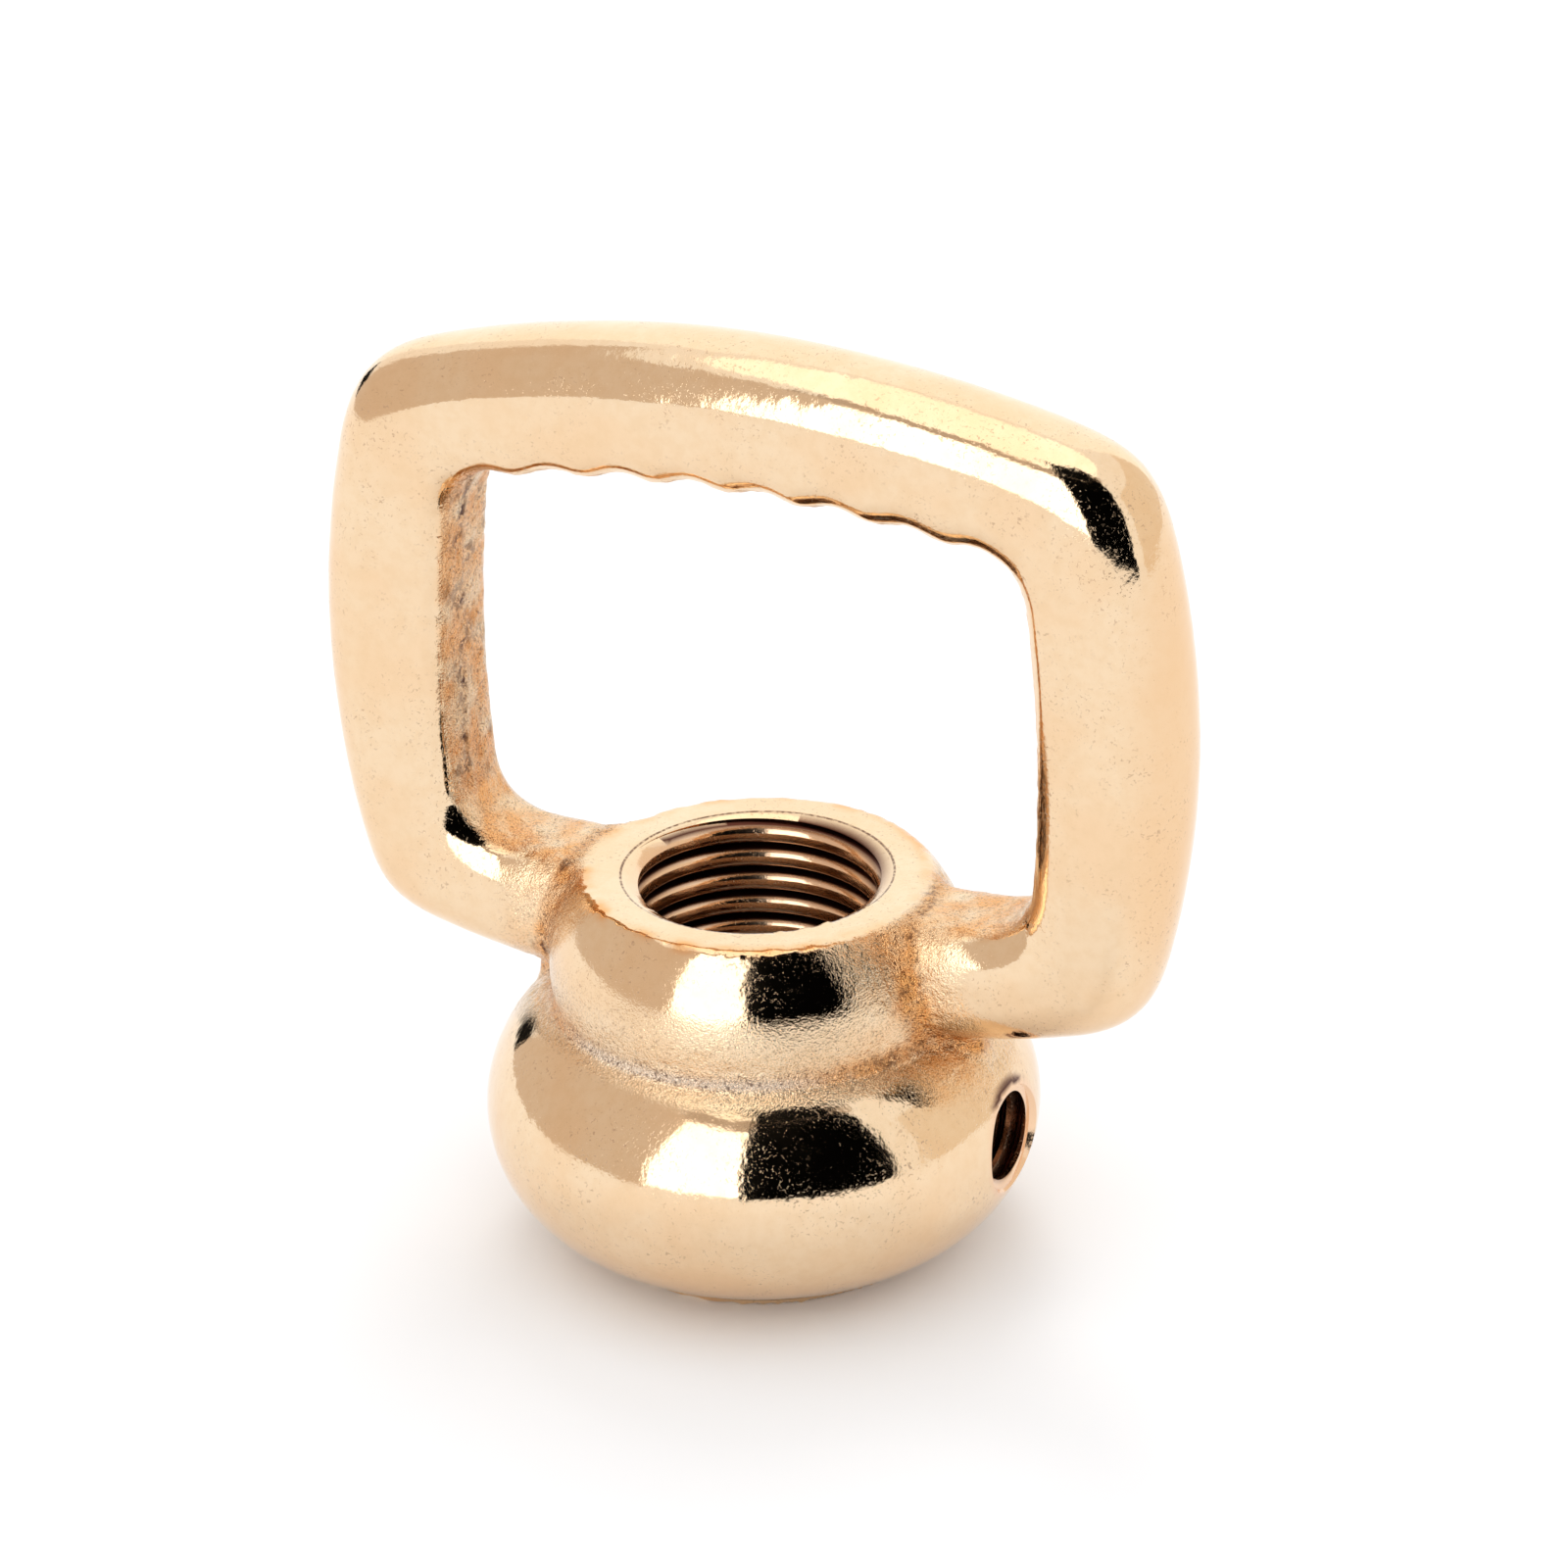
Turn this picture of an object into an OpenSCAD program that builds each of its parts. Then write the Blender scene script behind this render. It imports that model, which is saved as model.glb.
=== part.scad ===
/*
  Lamp suspension loop.

  One casting: a ball-shaped hub with a collar, threaded through for lamp pipe, and an
  oval-sectioned carrying frame that rises from the collar and gives the hook or chain its
  eye.
  A slotted set screw in the side of the ball locks the pipe.

  Frame: the origin is the centre of the foot's underside. +Z runs up the pipe bore,
  X lies along the frame's width, and the set screw enters from +X.
  Threads are plain: a bore has the thread's minor diameter, and the set screw and its
  hole have the thread's major diameter, so that the screw slides without touching.
*/

/* [Hub] */
// Height of the hub, from the foot's underside to the top face
hub_h = 14.8; // [14:0.1:16]
// Widest diameter of the ball
ball_d = 21; // [20:0.1:22]
// Radius of the ball's rounded side
ball_side_r = 5; // [4.6:0.1:5.2]
// Height of the ball's widest circle
ball_z = 5.4; // [5.3:0.1:5.6]
// Widest diameter of the collar
collar_d = 15.8; // [15:0.1:17]
// Height of the collar's widest circle
collar_z = 11.2; // [10.6:0.1:12]
// Diameter of the top face, before its edge is broken
rim_d = 12.9; // [12.6:0.1:14]
// Diameter of the foot ring
foot_d = 13.4; // [12.8:0.1:13.8]

/* [Pipe bore] */
// Bore diameter, the minor diameter of an M10 x 1 thread
bore_d = 8.92; // [8.8:0.01:9]
// Widest diameter of the countersink at the top of the bore
mouth_d = 10.2; // [10.1:0.1:10.8]
// Depth of that countersink
mouth_depth = 0.4; // [0.3:0.05:0.6]
// Depth of the chamfer at the foot of the bore
bore_foot_chamfer = 0.5; // [0.3:0.05:0.5]

/* [Carrying frame] */
// Overall height, from the foot to the top of the frame
total_h = 36; // [34:0.1:38]
// Overall width of the frame
frame_w = 34.4; // [33.8:0.1:36]
// Greatest depth of the frame, front to back
frame_depth = 5.2; // [4.4:0.1:5.6]
// Width of the flat face that looks into the eye
eye_face_w = 2.2; // [1.8:0.1:2.8]
// Greatest width of the eye
eye_w = 23.4; // [22:0.1:24.4]
// Height of the eye's ceiling at its centre, clear of the scallops
eye_top_z = 30.75; // [30:0.05:31.5]
// Where the frame is deepest, as a share of the way from the eye to the outside
deepest = 0.58; // [0.5:0.01:0.65]
// Squareness of the section's half next to the eye: 2 is an ellipse
inner_power = 3.4; // [2.6:0.1:4]

/* [Scallops] */
// Distance from one scallop to the next under the top bar
scallop_pitch = 2.8; // [2.4:0.1:3.2]
// How far a scallop hangs below the bar
scallop_h = 0.3; // [0.1:0.05:0.4]
// Number of scallops
scallop_count = 7; // [3:2:7]

/* [Set screw] */
// Major diameter of the screw's thread
screw_d = 4; // [4:0.5:4]
// Length of the screw
screw_len = 4; // [3:0.5:4]
// Distance from the pipe bore's axis to the screw's tip
tip_x = 5; // [4.6:0.1:5.4]
// Diameter of the screw's flat point
point_d = 2.5; // [2:0.1:3]
// Width of the driver slot
slot_w = 0.6; // [0.5:0.1:0.8]
// Depth of the driver slot
slot_depth = 1.3; // [1:0.1:1.6]
// Angle of the slot, leaning from upright towards +Y
slot_angle = 38; // [0:1:180]
// Height of the screw's axis
screw_z = 5.6; // [5.2:0.1:6]

/* [Hidden] */
$fn = 96;

GOLD = [0.90, 0.74, 0.50];
SCREW_GOLD = [0.74, 0.57, 0.42];

past = 1;                              // how far a cutting tool runs past a surface
ball_ring_r = ball_d/2 - ball_side_r;  // radius of the circle that the ball's side is centred on
collar_inset = (collar_d - rim_d)/2;   // how far the collar draws in at the top face
collar_r = (pow(hub_h - collar_z, 2) + pow(collar_inset, 2)) / (2*collar_inset);
rim_break = 0.25;                      // broken edge of the top face
foot_ring_h = 1;                       // the ring reaches this far up into the ball

screw_fit = 0.05;                      // radial clearance of the screw in its hole
screw_r = screw_d/2 - screw_fit;
screw_edge = 0.3;                      // chamfer at the slotted end
point_len = 0.5;                       // length of the taper to the flat point
lip_x = ball_d/2 - 0.45;               // where the chamfer of the screw hole's mouth starts

/* Frame outlines. Each runs, on the +X half, from inside the collar along the lower bar,
   up the leg and along the top bar to the middle. Points are [x, z]. */
bar_start_x = 5.6;                     // the bars start inside the collar
leg_bow = 1.8;                         // how far the leg's outer side bows out
eye_bow = 0.5;                         // how far its inner side bows out

outer_start = [bar_start_x, 9.6];
outer_low = [frame_w/2 - leg_bow + 0.05, 11.5];
outer_high = [frame_w/2 - leg_bow - 0.05, total_h - 2.6];
outer_mid = [0, total_h];

inner_start = [bar_start_x, hub_h - 0.15];
inner_low = [eye_w/2 - eye_bow + 0.15, hub_h + 0.15];
inner_high = [eye_w/2 - eye_bow - 0.15, eye_top_z - 1.05];
inner_mid = [0, eye_top_z];

bar_steps = 4;
corner_steps = 8;
leg_steps = 10;
top_steps = 28;
section_steps = 14;

// Point at t, from 0 to 1, along a side from p to q that bows by the vector b at its middle
function side_point(p, q, b, t) = p + (q - p)*t + 4*b*t*(1 - t);
function side_slope(p, q, b, t) = (q - p) + 4*b*(1 - 2*t);

// Point at t along a rounded corner that leaves p in direction dp and reaches q in direction dq
function corner_point(p, dp, q, dq, t) =
    let (reach = 0.45*norm(q - p), a = p + dp/norm(dp)*reach, b = q - dq/norm(dq)*reach)
    p*pow(1 - t, 3) + 3*a*pow(1 - t, 2)*t + 3*b*(1 - t)*t*t + q*pow(t, 3);

// One outline: start, two corners and the top's middle, each side's bow, and how far from
// each corner its rounding begins
function outline(start, low, high, mid, bar_bow, out_bow, low_cut, high_cut) =
    let (
        bar_b = [0, -bar_bow], leg_b = [out_bow, 0], top_b = [0, (mid.y - high.y)/4],
        bar_end = 1 - low_cut/norm(low - start),
        leg_from = low_cut/norm(high - low), leg_to = 1 - high_cut/norm(high - low),
        top_from = high_cut/norm(mid - high)
    )
    concat(
        [for (i = [0:bar_steps - 1]) side_point(start, low, bar_b, bar_end*i/bar_steps)],
        [for (i = [0:corner_steps - 1]) corner_point(
            side_point(start, low, bar_b, bar_end), side_slope(start, low, bar_b, bar_end),
            side_point(low, high, leg_b, leg_from), side_slope(low, high, leg_b, leg_from),
            i/corner_steps)],
        [for (i = [0:leg_steps - 1])
            side_point(low, high, leg_b, leg_from + (leg_to - leg_from)*i/leg_steps)],
        [for (i = [0:corner_steps - 1]) corner_point(
            side_point(low, high, leg_b, leg_to), side_slope(low, high, leg_b, leg_to),
            side_point(high, mid, top_b, top_from), side_slope(high, mid, top_b, top_from),
            i/corner_steps)],
        [for (i = [0:top_steps])
            side_point(high, mid, top_b, top_from + (1 - top_from)*i/top_steps)]
    );

// How far the scallops hang at x, counted from the middle of the bar
function scallop(x) =
    abs(x) > scallop_pitch*scallop_count/2 ? 0
    : scallop_h*(1 + cos(360*x/scallop_pitch))/2;

outer_half = outline(outer_start, outer_low, outer_high, outer_mid, 0.35, leg_bow, 2.6, 3);
inner_smooth = outline(inner_start, inner_low, inner_high, inner_mid, 0, eye_bow, 2.2, 2);
inner_half = [for (p = inner_smooth)
    p.y > (hub_h + eye_top_z)/2 ? [p.x, p.y - scallop(p.x)] : p];

// Whole outline, from the +X lower bar over the top to the -X lower bar
function both_halves(half) =
    concat(half, [for (i = [len(half) - 2:-1:0]) [-half[i].x, half[i].y]]);

// Cross-section as [u, y]: u runs from 0 at the eye to 1 at the outside. The outer half is
// half an ellipse, and the squarer inner half is cut short by the eye's flat face.
outer_power = 2;
flat_angle = asin(pow(eye_face_w/frame_depth, inner_power/2));
inner_reach = deepest/pow(cos(flat_angle), 2/inner_power);
section = [for (i = [0:section_steps])
    let (a = (180 - flat_angle)*(2*i/section_steps - 1), inner = cos(a) < 0,
         reach = inner ? inner_reach : 1 - deepest, power = inner ? inner_power : outer_power)
    [deepest + sign(cos(a))*reach*pow(abs(cos(a)), 2/power),
     sign(a)*frame_depth/2*pow(abs(sin(a)), 2/power)]];

module frame() {
    outside = both_halves(outer_half);
    inside = both_halves(inner_half);
    stations = len(outside);
    ring = len(section);
    points = [for (k = [0:stations - 1]) for (s = section)
        let (p = inside[k] + (outside[k] - inside[k])*s[0]) [p.x, s[1], p.y]];
    walls = [for (k = [0:stations - 2]) for (j = [0:ring - 1])
        let (a = k*ring + j, b = k*ring + (j + 1)%ring, c = b + ring, d = a + ring)
        each [[a, c, b], [a, d, c]]];
    first_cap = [[for (j = [0:ring - 1]) j]];
    last_cap = [[for (j = [ring - 1:-1:0]) (stations - 1)*ring + j]];
    polyhedron(points, concat(walls, first_cap, last_cap), convexity = 6);
}

module hub_section() {
    difference() {
        union() {
            square([foot_d/2, foot_ring_h]);
            square([ball_ring_r, hub_h]);
            translate([ball_ring_r, ball_z]) circle(ball_side_r);
            intersection() {
                translate([collar_d/2 - collar_r, collar_z]) circle(collar_r);
                translate([0, ball_z + 0.7*ball_side_r])
                    square([collar_d, hub_h - ball_z - 0.7*ball_side_r]);
            }
        }
        translate([rim_d/2, hub_h]) rotate(45)
            square([2*past, rim_break*sqrt(2)], center = true);
    }
}

module pipe_bore() {
    translate([0, 0, -past]) cylinder(h = hub_h + 2*past, d = bore_d);
    translate([0, 0, hub_h - mouth_depth])
        cylinder(h = mouth_depth + past, d1 = bore_d,
                 d2 = bore_d + (mouth_d - bore_d)*(mouth_depth + past)/mouth_depth);
    translate([0, 0, -past])
        cylinder(h = bore_foot_chamfer + past, d1 = bore_d + 2*(bore_foot_chamfer + past),
                 d2 = bore_d);
}

module screw_hole() {
    translate([0, 0, screw_z]) rotate([0, 90, 0]) {
        cylinder(h = ball_d/2 + past, d = screw_d);
        translate([0, 0, lip_x])
            cylinder(h = past, r1 = screw_d/2, r2 = screw_d/2 + past);
    }
}

module loop_casting() {
    color(GOLD)
    difference() {
        union() {
            rotate_extrude() hub_section();
            frame();
        }
        pipe_bore();
        screw_hole();
    }
}

module set_screw() {
    color(SCREW_GOLD)
    translate([tip_x, 0, screw_z]) rotate([0, 90, 0])
    difference() {
        union() {
            cylinder(h = point_len, d1 = point_d, r2 = screw_r);
            translate([0, 0, point_len])
                cylinder(h = screw_len - point_len - screw_edge, r = screw_r);
            translate([0, 0, screw_len - screw_edge])
                cylinder(h = screw_edge, r1 = screw_r, r2 = screw_r - screw_edge);
        }
        rotate(-slot_angle)
            translate([-screw_d, -slot_w/2, screw_len - slot_depth])
            cube([2*screw_d, slot_w, slot_depth + past]);
    }
}

loop_casting();
set_screw();
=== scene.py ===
"""A gold-plated lamp suspension loop: a cast hub and carrying frame with tapped holes, and its set screw.

Shapes are worked out in millimetres and turned into metres when a mesh is made. The casting's skin is
one implicit surface, meshed on a grid; the threads are swept helices cut into it afterwards.
"""
import math

import bmesh
import bpy
import numpy as np
from mathutils import Matrix, Vector


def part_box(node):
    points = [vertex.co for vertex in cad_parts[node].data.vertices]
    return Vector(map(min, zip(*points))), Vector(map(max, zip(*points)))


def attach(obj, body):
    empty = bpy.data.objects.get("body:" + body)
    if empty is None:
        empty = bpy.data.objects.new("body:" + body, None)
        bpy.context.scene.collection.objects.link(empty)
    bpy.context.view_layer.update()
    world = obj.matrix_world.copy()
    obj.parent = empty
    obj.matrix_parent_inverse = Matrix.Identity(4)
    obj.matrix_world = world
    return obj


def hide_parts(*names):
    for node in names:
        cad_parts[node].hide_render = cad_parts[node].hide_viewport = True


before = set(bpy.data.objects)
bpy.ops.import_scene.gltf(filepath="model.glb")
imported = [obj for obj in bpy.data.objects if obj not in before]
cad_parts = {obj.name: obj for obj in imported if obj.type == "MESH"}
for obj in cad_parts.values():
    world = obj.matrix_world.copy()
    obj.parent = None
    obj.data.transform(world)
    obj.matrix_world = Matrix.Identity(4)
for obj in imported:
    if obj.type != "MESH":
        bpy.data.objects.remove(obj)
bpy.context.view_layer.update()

MM = 0.001

# ---------------------------------------------------------------- sizes, in millimetres
casting_low, casting_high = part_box("loop_casting")
screw_low, screw_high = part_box("set_screw")
FRAME_W = (casting_high.x - casting_low.x) / MM
TOTAL_H = casting_high.z / MM
BALL_D = (casting_high.y - casting_low.y) / MM
SCREW_TIP, SCREW_HEAD = screw_low.x / MM, screw_high.x / MM
SCREW_Z = (screw_low.z + screw_high.z) / 2 / MM

# Hub: a foot ring, a ball and a collar, turned round Z.
HUB_H = 14.8
BALL_SIDE_R = 5.0
BALL_Z = 5.4
BALL_RING_R = BALL_D / 2 - BALL_SIDE_R
COLLAR_R, COLLAR_Z, RIM_R = 7.9, 11.2, 6.45
COLLAR_START_Z = BALL_Z + 0.6 * BALL_SIDE_R
FOOT_R, FOOT_H = 6.7, 1.0
# FOOT_LINE_Z is the height of a dark line painted as shade round the foot ring.
FOOT_LINE_Z = 0.42

# How far neighbouring shapes are blended into each other.
FOOT_EDGE, FOOT_BLEND = 0.15, 0.08
COLLAR_EDGE, CREASE_BLEND = 0.2, 0.5
BAR_BLEND, WEB_BLEND = 0.8, 0.5

# Frame section: flat towards the eye, round outside, deepest at DEEPEST of the way outwards.
FRAME_DEPTH = 5.2
EYE_FACE_W = 2.2
DEEPEST = 0.58
INNER_POWER, OUTER_POWER = 3.4, 2.0

# Frame outlines in X and Z. A cut is how far before its corner a side starts to turn.
BAR_START_X, BAR_START_Z, BAR_BOW = 5.6, 9.6, 0.35
OUTER_LOW_Z, OUTER_HIGH_Z = 11.5, TOTAL_H - 2.6
LEG_BOW, LEG_LEAN = 1.8, 0.05
OUTER_CUTS = (2.6, 3)
EYE_W = 23.4
EYE_TOP_Z = 30.75
EYE_BOW, EYE_LEAN = 0.5, 0.15
EYE_SHOULDER = 1.05
EYE_CUTS = (2.2, 2)
EYE_EDGE = 0.2
SAG = 0.16  # how far the top bar sags at its +X end
SCALLOP_PITCH, SCALLOP_H, SCALLOP_COUNT = 2.8, 0.3, 7
SCALLOP_FADE = 2.6

# Webs of flash under the bars, on the mould's parting plane.
WEB_X, WEB_Z, WEB_T = 8.3, 9.6, 0.35
WEB_HALF_X, WEB_HALF_Z = 0.5, 0.7

# Pipe bore: an M10 x 1 thread. Its mouth is countersunk and its foot is chamfered.
BORE_R, BORE_GROOVE_R, BORE_PITCH = 4.46, 5.0, 1.0
BORE_PHASE = -0.26
MOUTH_R, MOUTH_DEPTH, BORE_FOOT_CHAMFER = 5.1, 0.4, 0.5

# Set screw and its tapped hole: an M4 x 0.7 thread along X.
TAP_R, TAP_GROOVE_R, TAP_PITCH = 1.66, 2.0, 0.7
TAP_MOUTH_X = BALL_D / 2 - 0.45
THREAD_GAP = 0.06
SLOT_W, SLOT_DEPTH, SLOT_ANGLE = 0.6, 1.3, math.radians(38)
POINT_R, SCREW_EDGE = 1.25, 0.3

# How much faster the crease's rough zone ends on the ball than on the collar.
BALL_SIDE_CRISPER = 2.6

# Meshing: the grid's step, the shortest edge that is halved in grainy places, what counts as a sliver,
# and how far a cutting tool runs past a surface.
GRID = 0.24
FINE_EDGE = 0.13
SLIVER = 0.001
PAST = 1.0


# ---------------------------------------------------------------- noise
def hashed(ix, iy, iz, seed):
    """A repeatable number from -1 to 1 for each lattice cell."""
    h = (ix * 374761393 + iy * 668265263 + iz * 1440662683 + seed * 1274126177) & 0xFFFFFFFF
    h = ((h ^ (h >> 13)) * 1274126177) & 0xFFFFFFFF
    return ((h ^ (h >> 16)) & 0xFFFF) / 32767.5 - 1


def noise(points, size, seed):
    """Smooth noise from -1 to 1 whose lumps are about `size` mm across."""
    p = points / size
    cell = np.floor(p).astype(np.int64)
    f = p - cell
    f = f * f * (3 - 2 * f)
    total = np.zeros(len(points))
    for dx in (0, 1):
        for dy in (0, 1):
            for dz in (0, 1):
                weight = (f[:, 0] if dx else 1 - f[:, 0]) * (f[:, 1] if dy else 1 - f[:, 1])
                weight = weight * (f[:, 2] if dz else 1 - f[:, 2])
                total += weight * hashed(cell[:, 0] + dx, cell[:, 1] + dy, cell[:, 2] + dz, seed)
    return total


def step_up(value, low, high):
    """Rises smoothly from 0 at low to 1 at high."""
    t = np.clip((value - low) / (high - low), 0, 1)
    return t * t * (3 - 2 * t)


# ---------------------------------------------------------------- the frame's outlines
def side_points(p, q, bow, t):
    """Points of a side from p to q that bulges by bow at its middle."""
    t = np.asarray(t)[:, None]
    return p + (q - p) * t + 4 * bow * t * (1 - t)


def side_point(p, q, bow, t):
    """One point of a side."""
    return side_points(p, q, bow, [t])[0]


def side_slope(p, q, bow, t):
    """The direction of a side at t, which need not be of length 1."""
    return (q - p) + 4 * bow * (1 - 2 * t)


def corner_points(p, dp, q, dq, steps):
    """A rounded corner that leaves p in direction dp and reaches q in direction dq."""
    reach = 0.45 * np.linalg.norm(q - p)
    a, b = p + dp / np.linalg.norm(dp) * reach, q - dq / np.linalg.norm(dq) * reach
    t = np.linspace(0, 1, steps, endpoint=False)[:, None]
    return p * (1 - t) ** 3 + 3 * a * (1 - t) ** 2 * t + 3 * b * (1 - t) * t * t + q * t ** 3


def outline(start, low, high, mid, bar_bow, out_bow, low_cut, high_cut):
    """Half of a frame outline, as [x, z] on the +X side: lower bar, leg and top bar."""
    start, low, high, mid = (np.array(p, float) for p in (start, low, high, mid))
    bar_b, leg_b = np.array([0, -bar_bow]), np.array([out_bow, 0])
    top_b = np.array([0, (mid[1] - high[1]) / 4])
    bar_end = 1 - low_cut / np.linalg.norm(low - start)
    leg_from = low_cut / np.linalg.norm(high - low)
    leg_to = 1 - high_cut / np.linalg.norm(high - low)
    top_from = high_cut / np.linalg.norm(mid - high)
    return np.concatenate([
        side_points(start, low, bar_b, np.linspace(0, bar_end, 12, endpoint=False)),
        corner_points(side_point(start, low, bar_b, bar_end), side_slope(start, low, bar_b, bar_end),
                      side_point(low, high, leg_b, leg_from), side_slope(low, high, leg_b, leg_from), 24),
        side_points(low, high, leg_b, np.linspace(leg_from, leg_to, 40, endpoint=False)),
        corner_points(side_point(low, high, leg_b, leg_to), side_slope(low, high, leg_b, leg_to),
                      side_point(high, mid, top_b, top_from), side_slope(high, mid, top_b, top_from), 24),
        side_points(high, mid, top_b, np.linspace(top_from, 1, 160)),
    ])


def scalloped(line):
    """The eye's outline with the row of scallops that hangs from its ceiling."""
    x, z = line[:, 0], line[:, 1].copy()
    under_bar = (z > (HUB_H + EYE_TOP_Z) / 2) & (np.abs(x) < SCALLOP_PITCH * SCALLOP_COUNT / 2)
    hang = SCALLOP_H * (1 + np.cos(2 * np.pi * x / SCALLOP_PITCH)) / 2
    hang = hang * (0.8 + 0.2 * noise(np.c_[x, x * 0, x * 0], SCALLOP_PITCH, 14))
    return np.c_[x, np.where(under_bar, z - hang, z)]


def outer_outline():
    """The outside of the frame, from inside the collar to the middle of the top bar."""
    leg_x = FRAME_W / 2 - LEG_BOW
    return outline([BAR_START_X, BAR_START_Z], [leg_x + LEG_LEAN, OUTER_LOW_Z],
                   [leg_x - LEG_LEAN, OUTER_HIGH_Z], [0, TOTAL_H], BAR_BOW, LEG_BOW, *OUTER_CUTS)


def eye_outline():
    """The eye, from inside the collar to the middle of its ceiling, without scallops."""
    leg_x = EYE_W / 2 - EYE_BOW
    return outline([BAR_START_X, HUB_H], [leg_x + EYE_LEAN, HUB_H + EYE_LEAN],
                   [leg_x - EYE_LEAN, EYE_TOP_Z - EYE_SHOULDER], [0, EYE_TOP_Z], 0, EYE_BOW, *EYE_CUTS)


class OutlineField:
    """Signed distance to an outline that is mirrored in x, positive inside it, on a fine [x, z] grid."""

    STEP = 0.06
    REACH_X, LOW_Z, HIGH_Z = 19.0, -1.0, 37.5

    def __init__(self, half, floor_z):
        xs = np.arange(0, self.REACH_X, self.STEP)
        zs = np.arange(self.LOW_Z, self.HIGH_Z, self.STEP)
        px, pz = (a.ravel() for a in np.meshgrid(xs, zs, indexing="ij"))
        line = np.concatenate([[[0, floor_z]], half])
        best = np.full(len(px), 1e9)
        crossings = np.zeros(len(px), int)
        for (ax, az), (bx, bz) in zip(line[:-1], line[1:]):
            dx, dz = bx - ax, bz - az
            t = np.clip(((px - ax) * dx + (pz - az) * dz) / max(dx * dx + dz * dz, 1e-12), 0, 1)
            best = np.minimum(best, (px - ax - t * dx) ** 2 + (pz - az - t * dz) ** 2)
            if az != bz:
                spans = (az > pz) != (bz > pz)
                crossings += spans & (px < ax + (pz - az) / (bz - az) * dx)
        sign = np.where(crossings % 2 == 1, 1, -1)
        self.values = (sign * np.sqrt(best)).reshape(len(xs), len(zs))

    def __call__(self, x, z):
        u = np.clip(np.abs(x) / self.STEP, 0, self.values.shape[0] - 1.001)
        v = np.clip((z - self.LOW_Z) / self.STEP, 0, self.values.shape[1] - 1.001)
        i, j = u.astype(int), v.astype(int)
        u, v = u - i, v - j
        w = self.values
        return ((w[i, j] * (1 - u) + w[i + 1, j] * u) * (1 - v)
                + (w[i, j + 1] * (1 - u) + w[i + 1, j + 1] * u) * v)


outer_field = OutlineField(outer_outline(), BAR_START_Z)
plain_eye_field = OutlineField(eye_outline(), HUB_H)
eye_field = OutlineField(scalloped(eye_outline()), HUB_H)


# ---------------------------------------------------------------- the casting as an implicit surface
def blend_min(a, b, k):
    """The union of two distances, with a fillet about k mm wide."""
    h = np.maximum(k - np.abs(a - b), 0) / k
    return np.minimum(a, b) - h * h * k / 4


def blend_max(a, b, k):
    """What two distances share, with the edge between them rounded over about k mm."""
    return -blend_min(-a, -b, k)


def hub_distance(r, z):
    """Distance to the hub before its top face is cut, and how far a point is from its crease.

    The second counts faster on the ball, so that the ball's polish starts close to the crease.
    """
    ball = np.hypot(np.maximum(r - BALL_RING_R, 0), z - BALL_Z) - BALL_SIDE_R
    foot = blend_max(r - FOOT_R, np.abs(z - FOOT_H / 2) - FOOT_H / 2, FOOT_EDGE)
    inset = COLLAR_R - RIM_R
    arc_r = ((HUB_H - COLLAR_Z) ** 2 + inset ** 2) / (2 * inset)
    collar = np.hypot(np.maximum(r - COLLAR_R + arc_r, 0), z - COLLAR_Z) - arc_r
    collar = blend_max(collar, COLLAR_START_Z - z, COLLAR_EDGE)
    hub = blend_min(blend_min(ball, foot, FOOT_BLEND), collar, CREASE_BLEND)
    return hub, np.abs(ball - collar) * np.where(ball < collar, BALL_SIDE_CRISPER, 1.0)


def frame_distance(y, into_metal, into_frame):
    """Distance to the frame's section, from how far a point is past the eye and inside the outline."""
    width = np.maximum(into_metal + into_frame, 1.0)
    along = into_metal / width - DEEPEST
    inner_reach = DEEPEST / (1 - (EYE_FACE_W / FRAME_DEPTH) ** INNER_POWER) ** (1 / INNER_POWER)
    reach = np.where(along < 0, inner_reach, 1 - DEEPEST)
    power = np.where(along < 0, INNER_POWER, OUTER_POWER)
    u, v = np.abs(along) / reach, np.abs(y) / (FRAME_DEPTH / 2)
    g = np.maximum((u ** power + v ** power) ** (1 / power), 1e-3)
    slope = np.hypot((u / g) ** (power - 1) / (reach * width), (v / g) ** (power - 1) / (FRAME_DEPTH / 2))
    return (g - 1) / np.maximum(slope, 0.12)


def flash_web(x, y, z):
    """Distance to the thin webs that the mould left on its parting plane, in the corners under the bars."""
    along = np.maximum(np.abs(np.abs(x) - WEB_X) - WEB_HALF_X, 0)
    up = np.maximum(np.abs(z - WEB_Z) - WEB_HALF_Z, 0)
    return np.hypot(along, up) + np.maximum(np.abs(y) - WEB_T, 0) - WEB_T


def casting_fields(x, y, z):
    """The casting's skin as a distance in mm, negative inside, and the distances it is blended from."""
    hub, ball_to_collar = hub_distance(np.hypot(x, y), z)
    z = z + SAG * step_up(x, -6, 10) * step_up(z, 18, 30)
    past_eye, past_plain = -eye_field(x, z), -plain_eye_field(x, z)
    near_eye = 1 - step_up(past_plain, 0.3, SCALLOP_FADE)
    section = frame_distance(y, past_plain + (past_eye - past_plain) * near_eye, outer_field(x, z))
    solid = blend_min(hub, section, BAR_BLEND)
    solid = blend_min(solid, flash_web(x, y, z), WEB_BLEND)
    return {"skin": blend_max(solid, -past_eye, EYE_EDGE), "hub": hub, "ball_to_collar": ball_to_collar,
            "hub_to_bar": np.abs(hub - section), "solid": solid, "past_eye": past_eye}


def casting_distance(x, y, z):
    return casting_fields(x, y, z)["skin"]


def gradient(points, step=0.02):
    """The direction in which the distance to the casting grows at each point."""
    g = np.empty_like(points)
    for axis in range(3):
        d = np.zeros(3)
        d[axis] = step
        g[:, axis] = (casting_distance(*(points + d).T) - casting_distance(*(points - d).T)) / (2 * step)
    return g


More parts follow.
